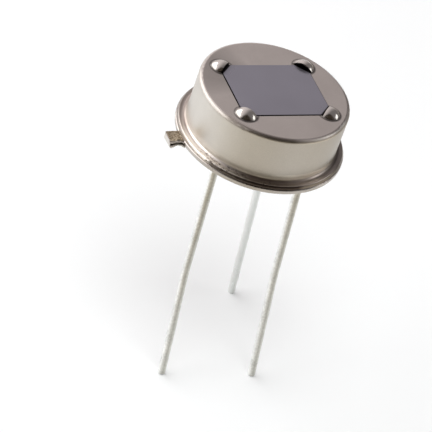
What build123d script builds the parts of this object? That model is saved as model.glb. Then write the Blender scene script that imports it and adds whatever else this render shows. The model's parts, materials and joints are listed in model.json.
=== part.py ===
from build123d import *
import os
from math import acos, cos, radians, sin, sqrt

# Passive infrared sensor in a three-lead metal can. Sizes are in millimetres and degrees.
# Z runs up the can, z = 0 is the header's underside, and X runs along the window's long side.

# Header, the stamped base that carries the seals, the leads and the circuit
header_lip = 0.13
header_thickness = 0.30
header_upper_chamfer = 0.04
header_lower_chamfer = 0.08
platform_height = 0.45
platform_gap = 0.10

# Locating tab on the header's rim
tab_width = 0.78
tab_reach = 0.80
tab_corner = 0.12
tab_angle = 181.4
tab_nick_radius = 0.10
tab_nick_reach = 0.27

# Cap, drawn from sheet
can_radius = 4.10
can_top = 3.23
sheet = 0.20
shoulder_round = 0.21
weld_ring_width = 0.37
foot_bend = 0.20
foot_bend_facets = 3

# Window cut in the cap, and the hoods raised over its corners
window_length = 5.16
window_width = 4.14
hood_radius = 0.57
hood_setback = 0.17
hood_edge_gap = 0.20
hood_edge_slope = 52
hood_skirt_width = 0.06
hood_skirt_height = 0.03
hood_sheet = 0.10
hollow_flat_share = 0.33

# Infrared filter and the adhesive that holds it from inside
filter_gap = 0.05
filter_thickness = 0.55
filter_proud = 0.04
bond_width = 0.30
bond_wall_gap = 0.05
hood_to_filter_gap = 0.02

# Leads. Each leaves the header square, then is bent outwards down to its foot.
lead_radius = 0.215
pin_circle_radius = 2.54
drain_angle = 225
source_angle = 315
ground_angle = 45
lead_reach = 14.0
neck_depth = 0.42
shoulder_depth = 1.00
lead_bend = 0.45
lead_sag_bend = 20.0

# How far each lead has moved from its own pin, in X and Y: at its shoulder, halfway down and at its foot
drain_spread = [(-0.96, 0.40), (-1.10, -0.44), (-1.07, -1.53)]
source_spread = [(0.25, -0.27), (0.36, -1.03), (0.60, -2.05)]
ground_spread = [(0.08, 0.03), (1.79, 0.96)]

# Seals round the leads
seal_radius = 0.70
braze_radius = 0.42
seal_climb = 0.10

# Circuit board on its spacer
spacer_height = 0.40
spacer_width = 0.50
board_wall_gap = 0.35
board_thickness = 0.50
board_rim_gap = 0.10
pin_hole_clearance = 0.08
slot_length = 2.00
slot_width = 1.60
post_stand = 0.35

# Printed tracks and solder
track_thickness = 0.03
track_width = 0.20
pin_pad_radius = 0.58
pin_pad_sides = 8
solder_radius = 0.48
solder_height = 0.25
track_rim_inset = 0.24
drain_track_start = 120
source_track_start = 72
track_pin_angle = 10

# Dual pyroelectric element
plate_length = 3.20
plate_width = 2.20
plate_thickness = 0.15
electrode_length = 1.00
electrode_width = 2.00
electrode_spacing = 2.00
electrode_thickness = 0.02
bond_pad_length = 0.38
bond_pad_width = 1.20
bond_pad_height = 0.25
bond_pad_inset = 0.02
pad_margin = 0.10

# Field-effect transistor
fet_length = 1.40
fet_width = 0.80
fet_height = 0.50
fet_stand = 0.05
fet_x = -0.75
fet_y = 2.30
leg_pitch = 0.90
leg_width = 0.24
leg_thickness = 0.12
leg_span = 0.34
leg_foot = 0.20

# Gate resistor chip
chip_length = 1.00
chip_width = 0.50
chip_height = 0.35
chip_end = 0.20
chip_y = -2.45

# Heights worked out from the sizes above
platform_top = header_thickness + platform_height
weld_ring_top = header_thickness + sheet
board_underside = platform_top + spacer_height
board_top = board_underside + board_thickness
track_top = board_top + track_thickness
bond_pad_top = track_top + bond_pad_height
plate_underside = bond_pad_top + electrode_thickness
plate_top = plate_underside + plate_thickness
post_top = board_top + post_stand
filter_top = can_top + filter_proud
filter_underside = filter_top - filter_thickness
ceiling = can_top - sheet

# Radii and places worked out from the sizes above
diagonal = sqrt(0.5)
can_inside_radius = can_radius - sheet
weld_ring_start = can_radius + foot_bend
weld_ring_radius = can_radius + weld_ring_width
header_radius = weld_ring_radius + header_lip
platform_radius = can_inside_radius - platform_gap
foot_chamfer = 2 * (1 - diagonal) * (foot_bend + sheet)
board_radius = can_inside_radius - board_wall_gap
pin_hole_radius = lead_radius + pin_hole_clearance
filter_length = window_length - 2 * filter_gap
filter_width = window_width - 2 * filter_gap
hood_foot = hood_radius + hood_skirt_width
hood_distance = can_radius - shoulder_round - hood_edge_gap - hood_foot
window_diagonal = sqrt(window_length**2 + window_width**2)
hood_centre_x = hood_distance * window_length / window_diagonal
hood_centre_y = hood_distance * window_width / window_diagonal
mouth_square = (hood_centre_x + hood_centre_y) / diagonal - 2 * hood_setback
hood_sphere = hood_radius / sin(radians(hood_edge_slope))
hood_sphere_centre = hood_skirt_height - hood_sphere * cos(radians(hood_edge_slope))
hood_height = hood_sphere_centre + hood_sphere
electrode_x = electrode_spacing / 2
bond_pad_x = electrode_x + electrode_length / 2 - bond_pad_inset - bond_pad_length / 2
cut_margin = 0.5


def pin_place(angle):
    """X and Y of a pin on the pin circle."""
    return (pin_circle_radius * cos(radians(angle)), pin_circle_radius * sin(radians(angle)))


drain_pin = pin_place(drain_angle)
source_pin = pin_place(source_angle)
ground_pin = pin_place(ground_angle)

os.makedirs("parts", exist_ok=True)


def keep(piece, name):
    """Labels a finished piece and writes it to its own file."""
    piece.label = name
    export_step(piece, f"parts/{name}.step")


# Header: a disc with a raised platform, a tab on its rim and three holes for the seals
with BuildPart() as header:
    with BuildSketch(Plane.XZ) as header_section:
        with BuildLine():
            Polyline(
                (0, 0),
                (header_radius, 0),
                (header_radius, header_thickness),
                (platform_radius, header_thickness),
                (platform_radius, platform_top),
                (0, platform_top),
                close=True,
            )
        make_face()
        lower_corner = header_section.vertices().sort_by_distance((header_radius, 0))[0]
        chamfer(lower_corner, length=header_lower_chamfer)
        upper_corner = header_section.vertices().sort_by_distance((header_radius, header_thickness))[0]
        chamfer(upper_corner, length=header_upper_chamfer)
    revolve(axis=Axis.Z)
    with BuildSketch(Plane.XY.rotated((0, 0, tab_angle))):
        with Locations((header_radius, 0)):
            tab_outline = Rectangle(2 * tab_reach, tab_width)
        fillet(tab_outline.vertices().group_by(Axis.X)[-1], radius=tab_corner)
        with Locations((header_radius + tab_nick_reach, tab_width / 2)):
            Circle(tab_nick_radius, mode=Mode.SUBTRACT)
    extrude(amount=header_thickness)
    with BuildSketch(Plane.XY):
        with Locations(drain_pin, source_pin):
            Circle(seal_radius)
        with Locations(ground_pin):
            Circle(braze_radius)
    extrude(amount=platform_top, mode=Mode.SUBTRACT)
keep(header.part, "header")


# Cap: a drawn cup with a weld ring at its foot, a window in its top and a hood over each window corner
hollow_sphere = hood_sphere - hood_sheet
hollow_slope = acos(-hood_sphere_centre / hollow_sphere)
hood_planes = [
    Plane(origin=(x, y, can_top), x_dir=(1, 0, 0), z_dir=(0, -1, 0))
    for x in (-hood_centre_x, hood_centre_x)
    for y in (-hood_centre_y, hood_centre_y)
]


def hollow_point(share):
    """A point of the hollow's section, from its crown at share 0 to its foot at share 1."""
    slope = hollow_slope * share
    return (hollow_sphere * sin(slope), hood_sphere_centre + hollow_sphere * cos(slope))


def foot_bend_point(share):
    """A point of the bend between the wall at share 0 and the weld ring at share 1."""
    turn = radians(90) * share
    return (weld_ring_start - foot_bend * cos(turn), weld_ring_top + foot_bend * (1 - sin(turn)))


hollow_crown = hollow_point(hollow_flat_share)
hollow_foot = hollow_point(1)
foot_bend_points = [foot_bend_point(step / foot_bend_facets) for step in range(foot_bend_facets + 1)]

with BuildPart() as cap:
    with BuildSketch(Plane.XZ) as cap_section:
        with BuildLine():
            Polyline(
                (0, can_top),
                (can_radius, can_top),
                *foot_bend_points,
                (weld_ring_radius, weld_ring_top),
                (weld_ring_radius, header_thickness),
                (can_inside_radius, header_thickness),
                (can_inside_radius, ceiling),
                (0, ceiling),
                close=True,
            )
        make_face()
        shoulder_corner = cap_section.vertices().sort_by_distance((can_radius, can_top))[0]
        fillet(shoulder_corner, radius=shoulder_round)
        inside_corner = cap_section.vertices().sort_by_distance((can_inside_radius, header_thickness))[0]
        chamfer(inside_corner, length=foot_chamfer)
    revolve(axis=Axis.Z)
    for hood_plane in hood_planes:
        with BuildSketch(hood_plane):
            with BuildLine():
                RadiusArc((0, hood_height), (hood_radius, hood_skirt_height), hood_sphere)
                Polyline(
                    (hood_radius, hood_skirt_height),
                    (hood_foot, 0),
                    (hood_foot, -sheet / 2),
                    (0, -sheet / 2),
                    (0, hood_height),
                )
            make_face()
        revolve(axis=Axis(hood_plane.origin, (0, 0, 1)))
    for hood_plane in hood_planes:
        with BuildSketch(hood_plane):
            with BuildLine():
                Polyline(
                    (0, hollow_crown[1]),
                    hollow_crown,
                    hollow_foot,
                    (hollow_foot[0], -sheet),
                    (0, -sheet),
                    close=True,
                )
            make_face()
        revolve(axis=Axis(hood_plane.origin, (0, 0, 1)), mode=Mode.SUBTRACT)
    with BuildSketch(Plane.XY.offset(ceiling)):
        Rectangle(window_length, window_width)
    extrude(amount=sheet + filter_proud + hood_to_filter_gap, mode=Mode.SUBTRACT)
    with BuildSketch(Plane.XY.offset(can_top)):
        Rectangle(mouth_square, mouth_square, rotation=45)
    extrude(amount=hood_height + cut_margin, mode=Mode.SUBTRACT)
keep(cap.part, "cap")


# Window filter: a flat plate that fills the window, with its corners tucked under the hoods
with BuildPart() as window_filter:
    with BuildSketch(Plane.XY.offset(filter_underside)):
        Rectangle(filter_length, filter_width)
    extrude(amount=filter_thickness)
keep(window_filter.part, "window_filter")


# Filter bond: a bead of adhesive in the corner between the filter's edge and the cap's ceiling
with BuildPart() as filter_bond:
    with BuildSketch(Plane.XY.offset(filter_underside)):
        Rectangle(filter_length + 2 * bond_width, filter_width + 2 * bond_width)
        Circle(can_inside_radius - bond_wall_gap, mode=Mode.INTERSECT)
        Rectangle(filter_length, filter_width, mode=Mode.SUBTRACT)
    extrude(amount=ceiling - filter_underside)
keep(filter_bond.part, "filter_bond")


def seal(pin, outer_radius):
    """A collar that fills its header hole round a lead and climbs a little down the lead."""
    seal_plane = Plane(origin=(*pin, 0), x_dir=(1, 0, 0), z_dir=(0, -1, 0))
    with BuildPart() as collar:
        with BuildSketch(seal_plane):
            with BuildLine():
                Polyline(
                    (outer_radius, 0),
                    (outer_radius, platform_top),
                    (lead_radius, platform_top),
                    (lead_radius, -seal_climb),
                    close=True,
                )
            make_face()
        revolve(axis=Axis((*pin, 0), (0, 0, 1)))
    return collar.part


keep(seal(drain_pin, seal_radius), "glass_seal_drain")
keep(seal(source_pin, seal_radius), "glass_seal_source")
keep(seal(ground_pin, braze_radius), "ground_braze")


def lead(pin, spread):
    """A round wire from the circuit board down through its seal and out to its foot."""
    step = (lead_reach - shoulder_depth) / (len(spread) - 1)
    points = [(*pin, post_top), (*pin, -neck_depth)]
    for index, (moved_x, moved_y) in enumerate(spread):
        points.append((pin[0] + moved_x, pin[1] + moved_y, -shoulder_depth - index * step))
    bends = [lead_bend, lead_bend] + [lead_sag_bend] * (len(spread) - 2)
    with BuildPart() as wire:
        with BuildLine() as route:
            FilletPolyline(*points, radius=bends)
        with BuildSketch(Plane(origin=route.line @ 0, z_dir=route.line % 0)):
            Circle(lead_radius)
        sweep(path=route.line)
    return wire.part


keep(lead(drain_pin, drain_spread), "lead_drain")
keep(lead(source_pin, source_spread), "lead_source")
keep(lead(ground_pin, ground_spread), "lead_ground")


# Board spacer: an insulating ring between the header's platform and the board
spacer_radius = board_radius - board_rim_gap
with BuildPart() as board_spacer:
    with BuildSketch(Plane.XY.offset(platform_top)):
        Circle(spacer_radius)
        Circle(spacer_radius - spacer_width, mode=Mode.SUBTRACT)
    extrude(amount=spacer_height)
keep(board_spacer.part, "board_spacer")


# Circuit board: a round ceramic plate with a hole for each pin and a slot under the element
with BuildPart() as circuit_board:
    with BuildSketch(Plane.XY.offset(board_underside)):
        Circle(board_radius)
        with Locations(drain_pin, source_pin, ground_pin):
            Circle(pin_hole_radius, mode=Mode.SUBTRACT)
        Rectangle(slot_length, slot_width, mode=Mode.SUBTRACT)
    extrude(amount=board_thickness)
keep(circuit_board.part, "circuit_board")


# Circuit tracks: four printed nets that join the pins, the element, the transistor and the resistor
rim_track = board_radius - track_rim_inset
element_pad = (bond_pad_length + 2 * pad_margin, bond_pad_width + 2 * pad_margin)
chip_pad_x = (chip_length - chip_end) / 2
chip_pad = (chip_end + pad_margin, chip_width + pad_margin)
leg_pad = (leg_width + pad_margin, leg_foot + pad_margin)
leg_foot_y = fet_width / 2 + leg_span - leg_foot / 2
gate_leg = (fet_x - leg_pitch / 2, fet_y - leg_foot_y)
source_leg = (fet_x + leg_pitch / 2, fet_y - leg_foot_y)
drain_leg = (fet_x, fet_y + leg_foot_y)
pad_edge = bond_pad_width / 2


with BuildPart() as circuit_tracks:
    with BuildSketch(Plane.XY.offset(board_top)):
        with BuildLine():
            drain_sweep = drain_angle - track_pin_angle - drain_track_start
            drain_rim = CenterArc((0, 0), rim_track, drain_track_start, drain_sweep)
            Line(drain_leg, drain_rim @ 0)
            Line(drain_rim @ 1, drain_pin)
        trace(line_width=track_width)
        with BuildLine():
            source_sweep = source_angle + track_pin_angle - 360 - source_track_start
            source_rim = CenterArc((0, 0), rim_track, source_track_start, source_sweep)
            Polyline(source_leg, (source_leg[0] + leg_pitch, source_leg[1]), source_rim @ 0)
            Line(source_rim @ 1, source_pin)
        trace(line_width=track_width)
        with BuildLine():
            Polyline(
                gate_leg,
                (-bond_pad_x, pad_edge),
                (-bond_pad_x, -pad_edge),
                (-chip_pad_x, chip_y + chip_width),
                (-chip_pad_x, chip_y),
            )
        trace(line_width=track_width)
        with BuildLine():
            Polyline(
                ground_pin,
                (bond_pad_x, pad_edge),
                (bond_pad_x, -pad_edge),
                (chip_pad_x, chip_y + chip_width),
                (chip_pad_x, chip_y),
            )
        trace(line_width=track_width)
        with Locations((-bond_pad_x, 0), (bond_pad_x, 0)):
            Rectangle(*element_pad)
        with Locations((-chip_pad_x, chip_y), (chip_pad_x, chip_y)):
            Rectangle(*chip_pad)
        with Locations(gate_leg, source_leg, drain_leg):
            Rectangle(*leg_pad)
        with Locations(drain_pin, source_pin, ground_pin):
            RegularPolygon(pin_pad_radius, pin_pad_sides)
            Circle(pin_hole_radius, mode=Mode.SUBTRACT)
        Rectangle(slot_length, slot_width, mode=Mode.SUBTRACT)
    extrude(amount=track_thickness)
keep(circuit_tracks.part, "circuit_tracks")


def pin_solder(pin):
    """A cone of solder that joins a pin to its pad."""
    solder_plane = Plane(origin=(*pin, track_top), x_dir=(1, 0, 0), z_dir=(0, -1, 0))
    with BuildPart() as cone:
        with BuildSketch(solder_plane):
            with BuildLine():
                Polyline((solder_radius, 0), (lead_radius, 0), (lead_radius, solder_height), close=True)
            make_face()
        revolve(axis=Axis((*pin, 0), (0, 0, 1)))
    return cone.part


for solder_name, solder_pin in [("drain", drain_pin), ("source", source_pin), ("ground", ground_pin)]:
    keep(pin_solder(solder_pin), f"pin_solder_{solder_name}")


def slab(x, y, z, length, width, height):
    """A rectangular piece that stands on height z, centred on x and y."""
    with BuildPart() as piece:
        with BuildSketch(Plane.XY.offset(z)):
            with Locations((x, y)):
                Rectangle(length, width)
        extrude(amount=height)
    return piece.part


# Element: a ceramic plate on two conductive beads, with an electrode over and under each end
keep(slab(0, 0, plate_underside, plate_length, plate_width, plate_thickness), "pyro_plate")
for side_name, side in [("left", -1), ("right", 1)]:
    electrode_place = (side * electrode_x, 0)
    electrode_size = (electrode_length, electrode_width, electrode_thickness)
    keep(slab(*electrode_place, plate_top, *electrode_size), f"front_electrode_{side_name}")
    keep(slab(*electrode_place, bond_pad_top, *electrode_size), f"rear_electrode_{side_name}")
    bond_size = (bond_pad_length, bond_pad_width, bond_pad_height)
    keep(slab(side * bond_pad_x, 0, track_top, *bond_size), f"element_bond_{side_name}")


# Transistor: a moulded body on three bent legs
fet_underside = track_top + fet_stand
leg_root = fet_underside + fet_height / 2
keep(slab(fet_x, fet_y, fet_underside, fet_length, fet_width, fet_height), "fet_body")


def fet_leg(x, side):
    """A leg from the body's side, out, down and out again to a foot on its pad."""
    root_y = fet_y + side * fet_width / 2
    knee_y = root_y + side * (leg_span - leg_foot)
    tip_y = root_y + side * leg_span
    half = leg_thickness / 2
    with BuildPart() as leg:
        with BuildSketch(Plane(origin=(x - leg_width / 2, 0, 0), x_dir=(0, 1, 0), z_dir=(1, 0, 0))):
            with BuildLine():
                Polyline(
                    (root_y, leg_root + half),
                    (knee_y, leg_root + half),
                    (knee_y, track_top + leg_thickness),
                    (tip_y, track_top + leg_thickness),
                    (tip_y, track_top),
                    (knee_y - side * leg_thickness, track_top),
                    (knee_y - side * leg_thickness, leg_root - half),
                    (root_y, leg_root - half),
                    close=True,
                )
            make_face()
        extrude(amount=leg_width)
    return leg.part


keep(fet_leg(gate_leg[0], -1), "fet_leg_gate")
keep(fet_leg(source_leg[0], -1), "fet_leg_source")
keep(fet_leg(drain_leg[0], 1), "fet_leg_drain")


# Gate resistor: a ceramic chip between two plated ends
chip_body_length = chip_length - 2 * chip_end
keep(slab(0, chip_y, track_top, chip_body_length, chip_width, chip_height), "gate_resistor")
for side_name, side in [("left", -1), ("right", 1)]:
    end_x = side * chip_pad_x
    keep(slab(end_x, chip_y, track_top, chip_end, chip_width, chip_height), f"resistor_end_{side_name}")
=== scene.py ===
import json
import math

import bmesh
import bpy
from mathutils import Matrix, Vector, noise


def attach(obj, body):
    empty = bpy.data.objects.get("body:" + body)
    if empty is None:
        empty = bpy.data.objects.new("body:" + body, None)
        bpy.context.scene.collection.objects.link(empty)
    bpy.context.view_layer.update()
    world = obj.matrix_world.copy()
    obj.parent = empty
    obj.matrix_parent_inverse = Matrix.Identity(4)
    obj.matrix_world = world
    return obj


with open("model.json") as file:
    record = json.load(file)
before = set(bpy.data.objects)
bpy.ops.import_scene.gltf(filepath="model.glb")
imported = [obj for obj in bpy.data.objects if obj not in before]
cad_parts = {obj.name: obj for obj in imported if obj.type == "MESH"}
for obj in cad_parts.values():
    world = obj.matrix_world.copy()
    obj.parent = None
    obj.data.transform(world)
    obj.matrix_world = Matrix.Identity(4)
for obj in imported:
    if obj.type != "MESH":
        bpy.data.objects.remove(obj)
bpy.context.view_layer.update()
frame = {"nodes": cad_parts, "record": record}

# Passive infrared sensor in a round nickel-plated can, in the same frame as the solids: metres,
# with z = 0 on the underside of the header and the can's axis along Z. The sizes below are in
# millimetres and the angles in degrees, unless a comment says otherwise.

MM = 0.001
PER_MM = 1000.0

CAN_TOP = 3.23
FLOOR_HEIGHT = -14.036

# The sphere of one hood, as its centre and radius. The other three hoods mirror it.
HOOD_SPHERE = (2.383, 1.912, 2.815)
HOOD_REACH = 0.7233

# The flange was welded by a current that left its mark at this angle round the can
WELD_MARK = 212.0

# Sides of the cap: the angle round the can, and how far from it a side ends and how far it is full
# Painted highlight on the foot's near-left side
FOOT_HIGHLIGHT_SIDE = (WELD_MARK - 4.0, 34.0, 12.0)
HEATED_SIDE = (WELD_MARK + 7.0, 24.0, 8.0)
# Painted dark reflection on the ring's near edge
EDGE_REFLECTION_SIDE = (WELD_MARK + 33.0, 36.0, 31.0)
# Painted dark reflection on the near rim
RIM_REFLECTION_SIDE = (237.0, 33.0, 25.0)
# Painted highlight on the rim's near-right side
RIM_HIGHLIGHT_SIDE = (284.0, 20.0, 8.0)
# Painted highlight on the low wall's near-right side
LOW_WALL_HIGHLIGHT_SIDE = (287.0, 32.0, 14.0)
# Painted highlight on the wall's near-left side
WALL_HIGHLIGHT_SIDE = (196.0, 34.0, 14.0)
# Painted shade on the ring's top on the left side, where the top is darker too
DARKER_LEFT_SIDE = (148.0, 38.0, 14.0)

# Heights between which the cap's zones fade, and the X between which the painted shade on its
# side away from the window comes in.
# A band is a fade in and a fade out.
# Painted dark reflection on the ring's near edge, below the ring's top
EDGE_REFLECTION_FADE = (0.455, 0.485)
# Painted shade on the ring's top, below this height
RING_FADE = (0.500, 0.505)
HEAT_FADE = (0.50, 0.58)
FOOT_FADE = (0.56, 0.68)
STREAK_FADE = (0.80, 1.30)
# Band of the low wall's painted highlight
LOW_WALL_BAND = ((0.56, 0.62), (0.85, 0.98))
# Painted highlight on the wall, below the rim
WALL_HIGHLIGHT_FADE = (2.90, 3.05)
# Band of the rim's painted highlight and painted dark reflection
RIM_BAND = ((3.00, 3.08), (3.215, 3.23))
WALL_FADE = (3.20, 3.23)
TOP_FADE = (3.22, 3.23)
SHADE_SIDE_FADE = (1.4, 4.0)
# Strength of the painted dark reflection on the ring's edge
EDGE_REFLECTION_STRENGTH = 0.85
# Strength of the painted highlight on the wall
WALL_HIGHLIGHT_STRENGTH = 0.3

# Fades at a hood, by the distance from its sphere's centre and by height
# Painted shade on a hood's inner walls
HOLLOW_FADE = (HOOD_REACH - 0.06, HOOD_REACH - 0.04)
# Painted highlight on a hood's dome
DOME_FADE = (0.76, 0.80)
# Painted shade in the crease round a hood's foot
CREASE_SHADE_BAND = ((0.70, 0.73), (0.77, 0.82))
SHEET_FADE = (CAN_TOP - 0.15, CAN_TOP - 0.05)
RAISED_FADE = (CAN_TOP + 0.02, CAN_TOP + 0.10)

# Fades on the locating tab, by X at its root and tip and by height on its edge
TAB_ROOT_FADE = (-4.62, -4.52)
TAB_TIP_FADE = (-5.38, -5.34)
TAB_EDGE_FADE = (0.27, 0.29)
# Painted shadow in the tear along the tab's edge
TEAR_SHADOW_FADE = (0.085, 0.115)
# Painted highlight on the cut above the tear
CUT_HIGHLIGHT_FADE = (0.192, 0.205)

# Fades on the filter's corners, by the sum of the distances from its two middle lines
HOOD_SHADOW_FADE = (3.84, 3.90)
RESIDUE_FADE = (3.3, 3.8)

# The span that most of a noise pattern lies in
NOISE_SPAN = (0.3, 0.7)

# Pits of the plating: cells per millimetre, and the fade of a pit in its cell
PIT_CELLS = 2.2
PIT_FADE = (0.03, 0.12)

# The leads have a painted highlight on one side and painted shade on the other: the shaded side's
# direction, and tones round the wire from the side opposite it at 0 to the side facing it at 1.
# They change to the rear lead's lighter painted tones along Y.
WIRE_SHADED_SIDE = (0.842, -0.540, 0.0)
WIRE_PAINTED_LIGHT_TONES = [
    (0.0, (0.95, 0.95, 0.93)),
    (0.20, (0.92, 0.92, 0.89)),
    (0.40, (0.70, 0.69, 0.64)),
    (0.68, (0.48, 0.47, 0.425)),
    (0.86, (0.62, 0.615, 0.56)),
    (1.0, (0.86, 0.86, 0.83)),
]
# Lighter painted tones of the rear lead
REAR_WIRE_PAINTED_LIGHT_TONES = [
    (0.0, (0.90, 0.90, 0.88)),
    (0.35, (0.80, 0.81, 0.79)),
    (0.75, (0.66, 0.68, 0.65)),
    (1.0, (0.80, 0.81, 0.79)),
]
REAR_LEAD_FADE = (-0.5, 1.0)

# Finishes of the pieces inside: slot, metal or not, dark and light tone, least and most
# roughness, and the size of the grain
INNER_FINISHES = [
    ("bond_adhesive", 0.0, (0.02, 0.02, 0.022), (0.05, 0.05, 0.052), 0.45, 0.7, 0.05),
    ("seal_glass", 0.0, (0.03, 0.05, 0.045), (0.07, 0.10, 0.085), 0.08, 0.2, 0.12),
    ("braze_metal", 1.0, (0.52, 0.48, 0.40), (0.66, 0.62, 0.54), 0.25, 0.4, 0.08),
    ("spacer_plastic", 0.0, (0.74, 0.72, 0.64), (0.84, 0.82, 0.76), 0.4, 0.6, 0.1),
    ("board_ceramic", 0.0, (0.80, 0.80, 0.77), (0.88, 0.88, 0.86), 0.45, 0.65, 0.04),
    ("track_silver", 1.0, (0.66, 0.65, 0.61), (0.78, 0.77, 0.74), 0.35, 0.55, 0.05),
    ("solder", 1.0, (0.60, 0.60, 0.60), (0.76, 0.76, 0.76), 0.15, 0.35, 0.09),
    ("element_ceramic", 0.0, (0.56, 0.49, 0.31), (0.68, 0.61, 0.42), 0.2, 0.35, 0.06),
    ("absorber_black", 0.0, (0.02, 0.02, 0.02), (0.05, 0.05, 0.05), 0.8, 0.95, 0.03),
    ("bond_silver", 0.0, (0.50, 0.50, 0.47), (0.64, 0.64, 0.61), 0.4, 0.6, 0.05),
    ("moulding_black", 0.0, (0.025, 0.025, 0.025), (0.05, 0.05, 0.05), 0.45, 0.65, 0.04),
    ("leg_tinned", 1.0, (0.64, 0.64, 0.62), (0.76, 0.76, 0.74), 0.25, 0.4, 0.05),
    ("resistor_black", 0.0, (0.04, 0.04, 0.05), (0.09, 0.09, 0.10), 0.3, 0.5, 0.05),
]
PATCHES_PER_GRAIN = 12.0

# Metal squeezed out of the weld: its section as radius and height, its steps round the can, the
# radius outside which it is uneven, and how wide the weld mark spreads
FLASH_SECTION = [
    (4.44, 0.31),
    (4.44, 0.495),
    (4.462, 0.498),
    (4.500, 0.440),
    (4.535, 0.355),
    (4.545, 0.302),
]
FLASH_STEPS = 720
FLASH_UNEVEN_RADIUS = 4.47
MARK_SPREAD = 9.0

# The flash's unevenness: waves per millimetre, their depth, and what the weld mark adds to it
FLASH_WAVES = [(14.0, 0.006, 0.026), (3.0, 0.006, 0.010)]

# The torn lip under the locating tab's near side: the tab's angle and half width, how far the
# lip goes into the tab, and the lip's widths at places along the tab
TAB_ANGLE = 181.4
TAB_HALF_WIDTH = 0.39
LIP_OVERLAP = 0.06
LIP_WIDTHS = [
    (4.54, 0.27),
    (4.62, 0.21),
    (4.72, 0.12),
    (4.84, 0.05),
    (4.97, 0.08),
    (5.12, 0.17),
    (5.27, 0.24),
    (5.40, 0.23),
]

# The lip's heights, the top and foot of its step as share of its width and height, and how
# jagged it is: waves per millimetre, and what they add to the step's shares and to the width
LIP_BOTTOM, LIP_RIM, LIP_TOP = 0.01, 0.075, 0.245
LIP_STEP = [(0.42, 0.205), (0.60, 0.10)]
JAG_WAVES, STEP_JAG, RIM_JAG = 9.0, 0.2, 0.03

# The camera's axes and place, fitted to the object's outline in the picture, its lens, and the
# least and most distance that it sees, in metres
CAMERA_RIGHT = Vector((0.9067062, -0.32779321, 0.26539682))
CAMERA_UP = Vector((0.02506979, 0.67003063, 0.74191001))
CAMERA_BACK = Vector((-0.42101706, -0.66604097, 0.61573863))
CAMERA_PLACE = Vector((-61.0635, -95.2653, 82.5087)) * MM
CAMERA_AZIMUTH = math.atan2(CAMERA_PLACE.y, CAMERA_PLACE.x)
FOCAL_PIXELS = 2651.6
IMAGE_PIXELS = 432
SENSOR = 36.0
CLIP = (0.005, 20.0)

# The floor: half its size in metres, its paper's tone and glow, and its painted warm shade, which
# the can's near wall mirrors. Each painted shade is an azimuth from the camera, and its start and
# end.
FLOOR_HALF_SIZE = 1.5
PAPER_TONE = (0.84, 0.87, 0.87)
PAPER_GLOW = 0.17
PAINTED_SHADE_TONE = (0.66, 0.625, 0.515)
PAINTED_FLOOR_SHADES = [(0.0, 10.0, 29.0), (90.0, 18.0, 32.0)]

# A dark card out of sight: its tone, its distance in metres, and its middle and half size as
# azimuth from the camera and elevation
CARD_TONE = (0.10, 0.08, 0.064, 1.0)
CARD_DISTANCE = 0.42
CARD_MIDDLE = (15.0, 44.0)
CARD_HALF_SIZE = (62.0, 44.0)

# The room's light: its tone, the window's azimuth from the camera, how far towards the window
# the light grows, and its strength on the far side and there
ROOM_TONE = (1.0, 0.91, 0.93, 1.0)
WINDOW_AZIMUTH = -110.0
WINDOW_FADE = (0.0, 0.50)
ROOM_STRENGTHS = (0.20, 0.80)


# Helpers for shader nodes


def add(tree, kind, **settings):
    """Adds a shader node and sets its properties."""
    node = tree.nodes.new(kind)
    for name, value in settings.items():
        setattr(node, name, value)
    return node


def wire(tree, start, end):
    """Joins an output socket to an input socket, or writes a plain value into the input."""
    if isinstance(start, bpy.types.NodeSocket):
        tree.links.new(start, end)
    else:
        end.default_value = start


def calculate(tree, operation, first, second, clamp=False):
    """A math node on two sockets or numbers."""
    node = add(tree, "ShaderNodeMath", operation=operation, use_clamp=clamp)
    wire(tree, first, node.inputs[0])
    wire(tree, second, node.inputs[1])
    return node.outputs[0]


def times(tree, first, *others):
    """The product of sockets or numbers."""
    for other in others:
        first = calculate(tree, "MULTIPLY", first, other)
    return first


def on_vectors(tree, operation, first, second=None):
    """The outputs of a vector math node on one or two sockets or vectors."""
    node = add(tree, "ShaderNodeVectorMath", operation=operation)
    wire(tree, first, node.inputs[0])
    if second is not None:
        wire(tree, second, node.inputs[1])
    return node.outputs


def scaled(tree, vector, factor):
    """A vector or a colour times a factor."""
    node = add(tree, "ShaderNodeVectorMath", operation="SCALE")
    wire(tree, vector, node.inputs[0])
    wire(tree, factor, node.inputs["Scale"])
    return node.outputs[0]


def split(tree, vector):
    """The X, Y and Z of a vector."""
    node = add(tree, "ShaderNodeSeparateXYZ")
    wire(tree, vector, node.inputs[0])
    return node.outputs


def noise_at(tree, vector, scale, detail=2.0, roughness=0.5):
    """A noise pattern read at a vector."""
    node = add(tree, "ShaderNodeTexNoise")
    wire(tree, vector, node.inputs["Vector"])
    wire(tree, scale, node.inputs["Scale"])
    node.inputs["Detail"].default_value = detail
    node.inputs["Roughness"].default_value = roughness
    return node.outputs["Fac"]


def remap(tree, value, low, high, to_low=0.0, to_high=1.0, **settings):
    """Stretches a value from one span to another, and clamps it."""
    node = add(tree, "ShaderNodeMapRange", clamp=True, **settings)
    for socket, number in zip(node.inputs[1:5], (low, high, to_low, to_high)):
        wire(tree, number, socket)
    wire(tree, value, node.inputs[0])
    return node.outputs[0]


def below(tree, value, low, high):
    """A mask that is 1 below a span and 0 above it."""
    return remap(tree, value, low, high, 1.0, 0.0)


def band(tree, value, fade_in, fade_out):
    """A mask that is 1 between two spans."""
    return times(tree, remap(tree, value, *fade_in), below(tree, value, *fade_out))


def between(tree, share, start, stop):
    """A number that goes from one value to another while a share goes from 0 to 1."""
    return remap(tree, share, 0.0, 1.0, start, stop)


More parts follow.
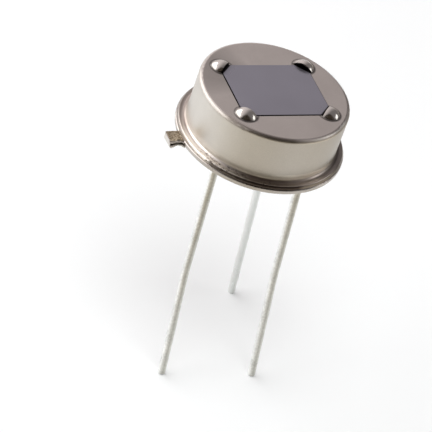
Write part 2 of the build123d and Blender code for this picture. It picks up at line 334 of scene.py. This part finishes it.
def blend(tree, factor, first, second):
    """Mixes two colours by a factor."""
    node = add(tree, "ShaderNodeMix", data_type="RGBA")
    wire(tree, factor, node.inputs[0])
    for socket, colour in ((node.inputs[6], first), (node.inputs[7], second)):
        wire(tree, (*colour, 1.0) if isinstance(colour, tuple) else colour, socket)
    return node.outputs[2]


def darkened(tree, tone, mask, factor):
    """A tone that is multiplied by a factor where a mask is 1."""
    return scaled(tree, tone, between(tree, mask, 1.0, factor))


def tone_steps(tree, value, steps):
    """A row of colours along a value from 0 to 1, as pairs of place and colour."""
    ramp = add(tree, "ShaderNodeValToRGB")
    stops = ramp.color_ramp.elements
    while len(stops) < len(steps):
        stops.new(1.0)
    for stop, (place, colour) in zip(stops, steps):
        stop.position = place
        stop.color = (*colour, 1.0)
    wire(tree, value, ramp.inputs[0])
    return ramp.outputs[0]


def new_group(name, inputs, outputs):
    """A shader node group that reads a vector and named numbers, and its two ends' sockets."""
    tree = bpy.data.node_groups.new(name, "ShaderNodeTree")
    sockets = tree.interface
    sockets.new_socket("Vector", in_out="INPUT", socket_type="NodeSocketVector")
    for label, value in inputs.items():
        socket = sockets.new_socket(label, in_out="INPUT", socket_type="NodeSocketFloat")
        socket.default_value = value
    for label in outputs:
        sockets.new_socket(label, in_out="OUTPUT", socket_type="NodeSocketFloat")
    return tree, add(tree, "NodeGroupInput").outputs, add(tree, "NodeGroupOutput").inputs


# Effects that several finishes share. Their vector is in millimetres.


def make_plated_grain():
    """Fine grain, cloudy patches and sparse pits of a plated sheet."""
    sizes = {"Grain Size": 0.05, "Patch Size": 1.6, "Pits": 0.3}
    tree, start, end = new_group("plated_grain", sizes, ["Patches", "Grain", "Height"])
    vector = start["Vector"]
    grain_scale = calculate(tree, "DIVIDE", 1.0, start["Grain Size"])
    grain = noise_at(tree, vector, grain_scale, detail=3.0, roughness=0.6)
    patch_scale = calculate(tree, "DIVIDE", 1.0, start["Patch Size"])
    patches = noise_at(tree, vector, patch_scale, detail=3.0, roughness=0.55)
    cells = add(tree, "ShaderNodeTexVoronoi", feature="F1")
    wire(tree, vector, cells.inputs["Vector"])
    cells.inputs["Scale"].default_value = PIT_CELLS
    pit = times(tree, below(tree, cells.outputs["Distance"], *PIT_FADE), start["Pits"])
    wire(tree, remap(tree, patches, *NOISE_SPAN), end["Patches"])
    wire(tree, grain, end["Grain"])
    wire(tree, calculate(tree, "SUBTRACT", grain, pit), end["Height"])
    return tree


def make_drawn_lines():
    """Faint lines that run along a drawn wire."""
    tree, start, end = new_group("drawn_lines", {"Across": 12.0, "Along": 0.4}, ["Lines"])
    parts = split(tree, start["Vector"])
    stretched = add(tree, "ShaderNodeCombineXYZ")
    for axis, stretch in (("X", "Across"), ("Y", "Across"), ("Z", "Along")):
        wire(tree, times(tree, parts[axis], start[stretch]), stretched.inputs[axis])
    lines = noise_at(tree, stretched.outputs[0], 1.0, detail=3.0, roughness=0.6)
    wire(tree, remap(tree, lines, *NOISE_SPAN), end["Lines"])
    return tree


def make_turned_rings():
    """Streaks that run round the can's axis."""
    tree, start, end = new_group("turned_rings", {"Across": 10.0, "Around": 1.5}, ["Rings"])
    parts = split(tree, start["Vector"])
    flat = add(tree, "ShaderNodeCombineXYZ")
    wire(tree, parts["X"], flat.inputs["X"])
    wire(tree, parts["Y"], flat.inputs["Y"])
    radius = on_vectors(tree, "LENGTH", flat.outputs[0])["Value"]
    around = on_vectors(tree, "NORMALIZE", flat.outputs[0])[0]
    turn = split(tree, scaled(tree, around, start["Around"]))
    rise = calculate(tree, "ADD", radius, parts["Z"])
    place = add(tree, "ShaderNodeCombineXYZ")
    wire(tree, turn["X"], place.inputs["X"])
    wire(tree, turn["Y"], place.inputs["Y"])
    wire(tree, times(tree, rise, start["Across"]), place.inputs["Z"])
    rings = noise_at(tree, place.outputs[0], 1.0, detail=3.0, roughness=0.6)
    wire(tree, remap(tree, rings, 0.32, 0.68), end["Rings"])
    return tree


plated_grain = make_plated_grain()
drawn_lines = make_drawn_lines()
turned_rings = make_turned_rings()


def use_group(tree, group, **values):
    """The outputs of a node group, whose inputs are named with underscores for spaces."""
    node = add(tree, "ShaderNodeGroup", node_tree=group)
    for name, value in values.items():
        wire(tree, value, node.inputs[name.replace("_", " ")])
    return node.outputs


def start_material(name, metallic):
    """A material with its shader, and its Object coordinates in millimetres."""
    material = bpy.data.materials.new(name)
    material.use_nodes = True
    tree = material.node_tree
    tree.nodes.clear()
    shader = add(tree, "ShaderNodeBsdfPrincipled")
    shader.inputs["Metallic"].default_value = metallic
    output = add(tree, "ShaderNodeOutputMaterial")
    wire(tree, shader.outputs[0], output.inputs["Surface"])
    place = add(tree, "ShaderNodeTexCoord")
    scale = add(tree, "ShaderNodeMapping")
    scale.inputs["Scale"].default_value = (PER_MM, PER_MM, PER_MM)
    wire(tree, place.outputs["Object"], scale.inputs["Vector"])
    return material, tree, shader, scale.outputs[0]


def bump(tree, shader, height, strength, depth):
    """Feeds a height pattern to the shader's normal."""
    node = add(tree, "ShaderNodeBump")
    node.inputs["Strength"].default_value = strength
    node.inputs["Distance"].default_value = depth * MM
    wire(tree, height, node.inputs["Height"])
    wire(tree, node.outputs[0], shader.inputs["Normal"])


# Masks of the cap


def facing_side(tree, vector, side):
    """A mask of one side of the can, full near the side's angle and none far from it."""
    angle, outer, inner = (math.radians(number) for number in side)
    flat = on_vectors(tree, "MULTIPLY", vector, (1.0, 1.0, 0.0))[0]
    around = on_vectors(tree, "NORMALIZE", flat)[0]
    middle = (math.cos(angle), math.sin(angle), 0.0)
    towards = on_vectors(tree, "DOT_PRODUCT", around, middle)["Value"]
    return remap(tree, towards, math.cos(outer), math.cos(inner))


def cap_zones(tree, vector):
    """Masks of the cap's zones, by height, by side or by both."""
    parts = split(tree, vector)
    height = parts["Z"]
    wall = below(tree, height, *WALL_FADE)
    heat_height = below(tree, height, *HEAT_FADE)
    edge_reflection_height = remap(tree, height, *EDGE_REFLECTION_FADE, EDGE_REFLECTION_STRENGTH, 0.0)
    wall_highlight_height = remap(tree, height, *WALL_HIGHLIGHT_FADE, WALL_HIGHLIGHT_STRENGTH, 0.0)
    rim = band(tree, height, *RIM_BAND)
    low_wall = band(tree, height, *LOW_WALL_BAND)
    darker_side = facing_side(tree, vector, DARKER_LEFT_SIDE)
    return {
        "wall": wall,
        "foot": below(tree, height, *FOOT_FADE),
        "streaks": below(tree, height, *STREAK_FADE),
        # Painted shade on the side away from the window
        "painted_shade_side": times(tree, remap(tree, parts["X"], *SHADE_SIDE_FADE), wall),
        # Painted highlight on the foot's near-left side
        "painted_foot_highlight": facing_side(tree, vector, FOOT_HIGHLIGHT_SIDE),
        "heat": times(tree, facing_side(tree, vector, HEATED_SIDE), heat_height),
        # Painted dark reflection on the ring's near edge
        "painted_edge_reflection": times(tree, facing_side(tree, vector, EDGE_REFLECTION_SIDE), edge_reflection_height),
        # Painted shade on the ring's top on the left side
        "painted_ring_shade": times(tree, darker_side, below(tree, height, *RING_FADE)),
        # Painted highlight on the low wall's near-right side
        "painted_low_wall_highlight": times(tree, low_wall, facing_side(tree, vector, LOW_WALL_HIGHLIGHT_SIDE)),
        # Painted highlight on the wall's near-left side
        "clear": times(tree, facing_side(tree, vector, WALL_HIGHLIGHT_SIDE), wall, wall_highlight_height),
        # Painted highlight on the rim's near-right side
        "painted_rim_highlight": times(tree, rim, facing_side(tree, vector, RIM_HIGHLIGHT_SIDE)),
        # Painted dark reflection on the near rim
        "painted_rim_reflection": times(tree, rim, facing_side(tree, vector, RIM_REFLECTION_SIDE)),
        # The top is darker on its left side
        "darker_top": times(tree, darker_side, remap(tree, height, *TOP_FADE)),
    }


def hood_masks(tree, vector):
    """Masks of the hoods' inner walls and of the crease round their feet, where shade is painted,
    and of their domes, where a highlight is painted.
    """
    folded = on_vectors(tree, "ABSOLUTE", vector)[0]
    distance = on_vectors(tree, "DISTANCE", folded, HOOD_SPHERE)["Value"]
    height = split(tree, vector)["Z"]
    above_sheet = remap(tree, height, *SHEET_FADE)
    near_sheet = below(tree, height, *RAISED_FADE)
    inside = below(tree, distance, *HOLLOW_FADE)
    at_foot = times(tree, above_sheet, near_sheet)
    painted_crease_shade = times(tree, band(tree, distance, *CREASE_SHADE_BAND), at_foot)
    raised = calculate(tree, "SUBTRACT", above_sheet, near_sheet, clamp=True)
    shell = calculate(tree, "SUBTRACT", below(tree, distance, *DOME_FADE), inside, clamp=True)
    return times(tree, inside, above_sheet), painted_crease_shade, times(tree, shell, raised)


# Finishes, one for each material slot


def cap_foot_tone(tree, vector, zones, rings):
    """Tone of the weld ring and the bend above it: tarnished, burnt at the weld mark, with a
    painted highlight, painted shade and a painted dark reflection on its sides.
    """
    dark_tarnish, light_tarnish = (0.42, 0.36, 0.31), (0.70, 0.64, 0.58)
    # Tone of the painted highlight on the foot
    foot_highlight_tone = (0.74, 0.70, 0.65)
    burnt, bare = (0.13, 0.10, 0.075), (1.0, 0.95, 0.87)
    # Tone of the painted dark reflection on the ring's edge
    painted_edge_reflection = (0.085, 0.062, 0.053)

    tone = blend(tree, rings, dark_tarnish, light_tarnish)
    # Painted highlight: the tarnish is lighter on the foot's near-left side
    tone = blend(tree, zones["painted_foot_highlight"], tone, foot_highlight_tone)
    # Painted shade on the ring's top on the left side
    tone = darkened(tree, tone, zones["painted_ring_shade"], 0.72)
    # Painted shade on the foot, on the side away from the window
    tone = scaled(tree, tone, remap(tree, zones["painted_shade_side"], 0.0, 0.75, 1.0, 0.30))
    dashes = use_group(tree, turned_rings, Vector=vector, Across=24.0, Around=22.0)["Rings"]
    dashed = blend(tree, remap(tree, dashes, 0.10, 0.44), burnt, bare)
    tone = blend(tree, zones["heat"], tone, dashed)
    # Painted dark reflection on the ring's near edge
    return blend(tree, zones["painted_edge_reflection"], tone, painted_edge_reflection)


def cap_finish():
    """Nickel plate on the drawn cap: satin wall, smoother top, tarnished foot, painted highlights,
    shade and dark reflections on the foot, wall and rim, painted shade in the hoods' hollows and
    round their feet, and a painted highlight on their domes.
    """
    dark_plate, light_plate = (0.60, 0.565, 0.52), (0.66, 0.625, 0.575)
    # Tones of the rim's painted dark reflection and painted highlight
    rim_reflection_tone, rim_highlight_tone = (0.40, 0.36, 0.315), (0.95, 0.90, 0.83)
    # Tones of the painted highlights on the low wall and the wall
    low_wall_highlight_tone, wall_highlight_tone = (0.95, 0.90, 0.84), (0.86, 0.83, 0.78)
    # Tones of the domes' painted highlight and of the painted shade in the hollows
    dome_highlight_tone, painted_hollow_shade = (0.69, 0.665, 0.615), (0.012, 0.010, 0.009)

    material, tree, shader, vector = start_material("cap_nickel", 1.0)
    sizes = {"Grain_Size": 0.06, "Patch_Size": 1.8, "Pits": 0.15}
    grain = use_group(tree, plated_grain, Vector=vector, **sizes)
    rings = use_group(tree, turned_rings, Vector=vector, Across=11.0, Around=1.4)["Rings"]
    zones = cap_zones(tree, vector)
    hollow, painted_crease_shade, dome = hood_masks(tree, vector)

    tone = blend(tree, grain["Patches"], dark_plate, light_plate)
    tone = scaled(tree, tone, remap(tree, grain["Grain"], *NOISE_SPAN, 0.93, 1.01))
    # Painted shade on the side away from the window
    tone = darkened(tree, tone, zones["painted_shade_side"], 0.80)
    # Painted dark reflection on the near rim
    tone = blend(tree, times(tree, zones["painted_rim_reflection"], 0.8), tone, rim_reflection_tone)
    streaks = times(tree, zones["streaks"], below(tree, rings, 0.2, 0.8))
    tone = darkened(tree, tone, streaks, 0.86)
    # Painted highlight on the rim's near-right side
    tone = blend(tree, zones["painted_rim_highlight"], tone, rim_highlight_tone)
    # Painted highlight on the low wall's near-right side
    tone = blend(tree, zones["painted_low_wall_highlight"], tone, low_wall_highlight_tone)
    # Painted highlight on the wall's near-left side
    tone = blend(tree, zones["clear"], tone, wall_highlight_tone)
    # The top is darker on its left side
    tone = darkened(tree, tone, zones["darker_top"], 0.72)
    tone = blend(tree, zones["foot"], tone, cap_foot_tone(tree, vector, zones, rings))
    # Painted highlight: the domes are lighter than the plate
    tone = blend(tree, dome, tone, dome_highlight_tone)
    # Painted shade in the crease round the hoods' feet
    tone = darkened(tree, tone, painted_crease_shade, 0.42)
    # Painted shade on the hoods' inner walls
    wire(tree, blend(tree, hollow, tone, painted_hollow_shade), shader.inputs["Base Color"])

    gloss = between(tree, grain["Patches"], 0.18, 0.24)
    gloss = calculate(tree, "ADD", gloss, times(tree, zones["wall"], 0.22))
    gloss = calculate(tree, "SUBTRACT", gloss, times(tree, zones["foot"], 0.13))
    gloss = calculate(tree, "ADD", gloss, times(tree, hollow, 0.4), clamp=True)
    wire(tree, gloss, shader.inputs["Roughness"])
    relief = times(tree, grain["Height"], between(tree, zones["heat"], 0.06, 2.0))
    bump(tree, shader, relief, strength=0.5, depth=0.012)
    return material


def header_finish():
    """Nickel plate on the stamped header, whose tab has a tarnished top and a sheared edge, with a
    painted shadow in the edge's tear and painted highlights on its cut and on the tab's tip.
    """
    dark_plate, light_plate = (0.46, 0.425, 0.39), (0.58, 0.545, 0.51)
    ring_tone = (0.44, 0.40, 0.35)
    dark_stain, light_stain = (0.13, 0.095, 0.055), (0.60, 0.53, 0.40)
    # The middle tone is a painted shadow in the tear, the last a painted highlight on the cut
    low_edge, tear_shadow_tone, cut_highlight_tone = (0.62, 0.60, 0.56), (0.05, 0.042, 0.034), (0.90, 0.86, 0.81)
    # Painted highlight on the tab's tip
    tip_highlight_tone = (0.72, 0.69, 0.65)

    material, tree, shader, vector = start_material("header_nickel", 1.0)
    sizes = {"Grain_Size": 0.07, "Patch_Size": 1.2, "Pits": 0.8}
    grain = use_group(tree, plated_grain, Vector=vector, **sizes)
    rings = use_group(tree, turned_rings, Vector=vector, Across=9.0, Around=2.0)["Rings"]
    parts = split(tree, vector)
    tab = below(tree, parts["X"], *TAB_ROOT_FADE)
    tip = below(tree, parts["X"], *TAB_TIP_FADE)
    edge = below(tree, parts["Z"], *TAB_EDGE_FADE)

    tone = blend(tree, grain["Patches"], dark_plate, light_plate)
    tone = blend(tree, times(tree, rings, 0.35), tone, ring_tone)
    # Painted shadow in the tear and painted highlight on the cut above it
    sheared = blend(tree, remap(tree, parts["Z"], *TEAR_SHADOW_FADE), low_edge, tear_shadow_tone)
    sheared = blend(tree, remap(tree, parts["Z"], *CUT_HIGHLIGHT_FADE), sheared, cut_highlight_tone)
    stain_and_painted_light = blend(tree, remap(tree, grain["Grain"], 0.42, 0.58), dark_stain, light_stain)
    # The tab's tarnish takes the edge's painted shadow and highlight, then the tip's painted
    # highlight
    stain_and_painted_light = blend(tree, edge, stain_and_painted_light, sheared)
    stain_and_painted_light = blend(tree, tip, stain_and_painted_light, tip_highlight_tone)
    wire(tree, blend(tree, tab, tone, stain_and_painted_light), shader.inputs["Base Color"])

    gloss = between(tree, grain["Patches"], 0.22, 0.34)
    gloss = calculate(tree, "ADD", gloss, times(tree, tab, 0.16))
    wire(tree, gloss, shader.inputs["Roughness"])
    relief = times(tree, grain["Height"], between(tree, tab, 0.3, 2.5))
    bump(tree, shader, relief, strength=0.5, depth=0.012)
    return material


def wire_finish():
    """Dull plated wire with die lines, a painted highlight on one side and painted shade on the
    other. The rear lead has lighter painted tones.
    """
    material, tree, shader, vector = start_material("lead_wire", 1.0)
    sizes = {"Grain_Size": 0.10, "Patch_Size": 0.7, "Pits": 0.8}
    grain = use_group(tree, plated_grain, Vector=vector, **sizes)
    lines = use_group(tree, drawn_lines, Vector=vector, Across=12.0, Along=0.35)["Lines"]
    normal = add(tree, "ShaderNodeTexCoord").outputs["Normal"]
    side = on_vectors(tree, "DOT_PRODUCT", normal, WIRE_SHADED_SIDE)["Value"]
    turned = remap(tree, side, -1.0, 1.0)

    # Painted highlight and painted shade round the wire, by its side
    tone = tone_steps(tree, turned, WIRE_PAINTED_LIGHT_TONES)
    tone = scaled(tree, tone, between(tree, grain["Patches"], 0.84, 1.12))
    tone = scaled(tree, tone, remap(tree, grain["Grain"], 0.36, 0.64, 0.86, 1.06))
    rear = remap(tree, split(tree, vector)["Y"], *REAR_LEAD_FADE)
    # Lighter painted tones on the rear lead
    tone = blend(tree, rear, tone, tone_steps(tree, turned, REAR_WIRE_PAINTED_LIGHT_TONES))
    wire(tree, tone, shader.inputs["Base Color"])

    wire(tree, between(tree, grain["Patches"], 0.26, 0.42), shader.inputs["Roughness"])
    relief = calculate(tree, "ADD", grain["Height"], lines)
    bump(tree, shader, relief, strength=0.4, depth=0.010)
    return material


def filter_finish():
    """Polished plate with a dark coating that mirrors the room in a violet grey, nearly even."""
    dark_coat, light_coat = (0.355, 0.358, 0.405), (0.385, 0.388, 0.440)
    shadow = (0.012, 0.010, 0.010)

    material, tree, shader, vector = start_material("filter_coating", 1.0)
    patches = remap(tree, noise_at(tree, vector, 0.35), *NOISE_SPAN)
    tone = blend(tree, patches, dark_coat, light_coat)
    folded = on_vectors(tree, "ABSOLUTE", vector)[0]
    across = on_vectors(tree, "DOT_PRODUCT", folded, (1.0, 1.0, 0.0))["Value"]
    # Painted shadow and dark reflection of the hoods on the filter's corners
    under_hood = remap(tree, across, *HOOD_SHADOW_FADE)
    wire(tree, blend(tree, under_hood, tone, shadow), shader.inputs["Base Color"])

    haze = remap(tree, noise_at(tree, vector, 3.0, detail=4.0), *NOISE_SPAN, 0.10, 0.15)
    residue = remap(tree, across, *RESIDUE_FADE, 0.0, 0.3)
    wire(tree, calculate(tree, "ADD", haze, residue), shader.inputs["Roughness"])
    bump(tree, shader, noise_at(tree, vector, 1.2), strength=0.03, depth=0.004)
    return material


def inner_finish(name, metallic, dark, light, least, most, size):
    """A finish for the pieces inside: two tones, an uneven gloss and a fine texture."""
    material, tree, shader, vector = start_material(name, metallic)
    sizes = {"Grain_Size": size, "Patch_Size": size * PATCHES_PER_GRAIN, "Pits": 0.2}
    grain = use_group(tree, plated_grain, Vector=vector, **sizes)
    wire(tree, blend(tree, grain["Patches"], dark, light), shader.inputs["Base Color"])
    gloss = remap(tree, grain["Grain"], *NOISE_SPAN, least, most)
    wire(tree, gloss, shader.inputs["Roughness"])
    bump(tree, shader, grain["Height"], strength=0.4, depth=0.01)
    return material


finishes = {
    "cap_nickel": cap_finish(),
    "header_nickel": header_finish(),
    "lead_wire": wire_finish(),
    "filter_coating": filter_finish(),
}
for row in INNER_FINISHES:
    finishes[row[0]] = inner_finish(*row)

# Every solid takes the finish of its slot in the record
slot_of = {entry["node"]: entry["material_slot"] for entry in frame["record"]["subparts"]}
for node_name, node_object in frame["nodes"].items():
    node_object.data.materials.clear()
    node_object.data.materials.append(finishes[slot_of[node_name]])


# Pieces that the solids lack


def link_object(name, data):
    """Puts a new object with its data into the scene."""
    made = bpy.data.objects.new(name, data)
    bpy.context.scene.collection.objects.link(made)
    return made


def shape_object(name, shape):
    """Puts a finished shape into the scene, and frees it."""
    mesh = bpy.data.meshes.new(name)
    shape.to_mesh(mesh)
    shape.free()
    return link_object(name, mesh)


def make_weld_flash():
    """A thin uneven bead that slopes from the ring's edge to the header, rougher at the mark."""
    bead = bmesh.new()
    bead.faces.new([bead.verts.new((x * MM, 0.0, z * MM)) for x, z in FLASH_SECTION])
    section = bead.faces[:]
    bmesh.ops.spin(
        bead,
        geom=bead.verts[:] + bead.edges[:],
        cent=(0, 0, 0),
        axis=(0, 0, 1),
        angle=math.tau,
        steps=FLASH_STEPS,
        use_merge=True,
        use_duplicate=False,
    )
    bmesh.ops.delete(bead, geom=section, context="FACES_ONLY")
    bmesh.ops.remove_doubles(bead, verts=bead.verts, dist=1e-7)
    for vert in bead.verts:
        out = Vector((vert.co.x, vert.co.y, 0.0))
        if out.length < FLASH_UNEVEN_RADIUS * MM:
            continue
        angle = math.degrees(math.atan2(vert.co.y, vert.co.x)) % 360.0
        near_mark = math.exp(-(((angle - WELD_MARK) / MARK_SPREAD) ** 2))
        push = 0.0
        for waves, depth, at_mark in FLASH_WAVES:
            push += noise.noise(vert.co * PER_MM * waves) * (depth + at_mark * near_mark)
        vert.co += out.normalized() * push * MM
    bmesh.ops.recalc_face_normals(bead, faces=bead.faces)
    flash = shape_object("weld_flash", bead)
    mesh = flash.data
    mesh.polygons.foreach_set("use_smooth", [True] * len(mesh.polygons))
    mesh.materials.append(finishes["cap_nickel"])
    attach(flash, "root")


def lip_stations():
    """The lip's widths along the tab, in four steps from each given place to the next."""
    for (start, low), (stop, high) in zip(LIP_WIDTHS, LIP_WIDTHS[1:]):
        for share in (0.0, 0.25, 0.5, 0.75):
            yield start + (stop - start) * share, low + (high - low) * share
    yield LIP_WIDTHS[-1]


def lip_section(along, width):
    """The lip's section at one place along the tab, as distance across it and height."""
    jag = noise.noise(Vector((along * JAG_WAVES, 0.0, 0.0)))
    inner = TAB_HALF_WIDTH - LIP_OVERLAP
    outer = TAB_HALF_WIDTH + width + RIM_JAG * jag
    step = [(TAB_HALF_WIDTH + (share + STEP_JAG * jag) * width, z) for share, z in LIP_STEP]
    return [(inner, LIP_BOTTOM), (inner, LIP_TOP), *step, (outer, LIP_RIM), (outer, LIP_BOTTOM)]


def make_tab_lip():
    """The lip that the punch tore along the tab's near side: a ledge, a jagged step and a rim."""
    turn = Matrix.Rotation(math.radians(TAB_ANGLE), 3, "Z")
    lip = bmesh.new()
    rings = []
    for along, width in lip_stations():
        section = [Vector((along, across, z)) * MM for across, z in lip_section(along, width)]
        rings.append([lip.verts.new(turn @ place) for place in section])
    for near, far in zip(rings, rings[1:]):
        for index in range(len(near)):
            following = (index + 1) % len(near)
            lip.faces.new((near[index], near[following], far[following], far[index]))
    lip.faces.new(rings[0])
    lip.faces.new(rings[-1])
    bmesh.ops.recalc_face_normals(lip, faces=lip.faces)
    piece = shape_object("tab_lip", lip)
    piece.data.materials.append(finishes["header_nickel"])
    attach(piece, "root")


make_weld_flash()
make_tab_lip()


# Camera, floor and lights


def make_camera():
    """The camera, at its fitted place."""
    data = bpy.data.cameras.new("camera")
    data.sensor_width = SENSOR
    data.lens = FOCAL_PIXELS * SENSOR / IMAGE_PIXELS
    data.clip_start, data.clip_end = CLIP
    camera = link_object("camera", data)
    turn = Matrix((CAMERA_RIGHT, CAMERA_UP, CAMERA_BACK)).transposed()
    camera.matrix_world = Matrix.Translation(CAMERA_PLACE) @ turn.to_4x4()
    bpy.context.scene.camera = camera


def direction(azimuth, elevation):
    """A unit vector. The azimuth is counted from the camera, towards the picture's right."""
    around = CAMERA_AZIMUTH + math.radians(azimuth)
    up = math.radians(elevation)
    return Vector((math.cos(around) * math.cos(up), math.sin(around) * math.cos(up), math.sin(up)))


def softbox(name, azimuth, elevation, distance, size, radiance, mirrored=True):
    """A soft lamp that faces the can, as bright as a white surface at 1. Lengths in metres."""
    lamp = bpy.data.lights.new(name, "AREA")
    lamp.shape = "RECTANGLE"
    lamp.size, lamp.size_y = size
    lamp.energy = radiance * math.pi * size[0] * size[1]
    holder = link_object(name, lamp)
    spot = direction(azimuth, elevation) * distance
    turn = (-spot).to_track_quat("-Z", "Y").to_matrix().to_4x4()
    holder.matrix_world = Matrix.Translation(spot) @ turn
    holder.visible_glossy = mirrored


def floor_paper():
    """Pale paper with soft painted warm shade, which glows a little and can't be seen from below.
    """
    material = bpy.data.materials.new("floor_paper")
    material.use_nodes = True
    tree = material.node_tree
    tree.nodes.clear()
    place = add(tree, "ShaderNodeTexCoord").outputs["Object"]
    # Painted warm shade on the paper, fading in along each direction
    shade = 0.0
    for azimuth, start, end in PAINTED_FLOOR_SHADES:
        along = on_vectors(tree, "DOT_PRODUCT", place, direction(azimuth, 0.0))["Value"]
        ramp = remap(tree, along, start * MM, end * MM, interpolation_type="SMOOTHSTEP")
        shade = calculate(tree, "ADD", shade, ramp, clamp=True)
    paper = add(tree, "ShaderNodeBsdfDiffuse")
    wire(tree, blend(tree, shade, PAPER_TONE, PAINTED_SHADE_TONE), paper.inputs["Color"])

    glow = add(tree, "ShaderNodeEmission")
    ray = add(tree, "ShaderNodeLightPath").outputs
    seen = calculate(tree, "MAXIMUM", ray["Is Camera Ray"], ray["Is Glossy Ray"])
    seen = calculate(tree, "MAXIMUM", seen, ray["Is Transmission Ray"])
    lit = between(tree, shade, PAPER_GLOW, 0.0)
    wire(tree, times(tree, seen, lit), glow.inputs["Strength"])
    both = add(tree, "ShaderNodeAddShader")
    wire(tree, paper.outputs[0], both.inputs[0])
    wire(tree, glow.outputs[0], both.inputs[1])

    choose = add(tree, "ShaderNodeMixShader")
    from_below = add(tree, "ShaderNodeNewGeometry").outputs["Backfacing"]
    wire(tree, from_below, choose.inputs[0])
    wire(tree, both.outputs[0], choose.inputs[1])
    wire(tree, add(tree, "ShaderNodeBsdfTransparent").outputs[0], choose.inputs[2])
    output = add(tree, "ShaderNodeOutputMaterial")
    wire(tree, choose.outputs[0], output.inputs["Surface"])
    return material


def make_floor():
    """A wide floor at the leads' feet."""
    sheet = bmesh.new()
    bmesh.ops.create_grid(sheet, x_segments=1, y_segments=1, size=FLOOR_HALF_SIZE)
    bmesh.ops.translate(sheet, verts=sheet.verts, vec=(0, 0, FLOOR_HEIGHT * MM))
    floor = shape_object("floor", sheet)
    floor.data.materials.append(floor_paper())


def make_dark_card():
    """A dark card round the near side, out of sight, which gives the metal dark reflections."""
    card = bmesh.new()
    bmesh.ops.create_grid(card, x_segments=32, y_segments=24, size=1.0)
    for vert in card.verts:
        azimuth = CARD_MIDDLE[0] + vert.co.x * CARD_HALF_SIZE[0]
        elevation = CARD_MIDDLE[1] + vert.co.y * CARD_HALF_SIZE[1]
        vert.co = direction(azimuth, elevation) * CARD_DISTANCE
    flag = shape_object("dark_card", card)
    material = bpy.data.materials.new("dark_card")
    material.use_nodes = True
    shader = material.node_tree.nodes["Principled BSDF"]
    shader.inputs["Base Color"].default_value = CARD_TONE
    shader.inputs["Roughness"].default_value = 0.9
    flag.data.materials.append(material)
    flag.visible_camera = False


def make_room():
    """The room's soft light, brighter on the window's side than on the far one."""
    world = bpy.data.worlds.new("studio")
    bpy.context.scene.world = world
    world.use_nodes = True
    tree = world.node_tree
    room = tree.nodes["Background"]
    room.inputs["Color"].default_value = ROOM_TONE
    place = add(tree, "ShaderNodeTexCoord").outputs["Generated"]
    window = direction(WINDOW_AZIMUTH, 0.0)
    towards = on_vectors(tree, "DOT_PRODUCT", place, window)["Value"]
    strength = remap(tree, towards, *WINDOW_FADE, *ROOM_STRENGTHS)
    wire(tree, strength, room.inputs["Strength"])


make_camera()
softbox("softbox_left", -95, 27, distance=0.17, size=(0.29, 0.14), radiance=1.7)
softbox("softbox_right", 114, 29, distance=0.17, size=(0.075, 0.045), radiance=2.0)
softbox("softbox_top", 7, 74, distance=0.20, size=(0.15, 0.15), radiance=3.2, mirrored=False)
make_floor()
make_dark_card()
make_room()

bpy.context.scene.view_settings.view_transform = "Standard"
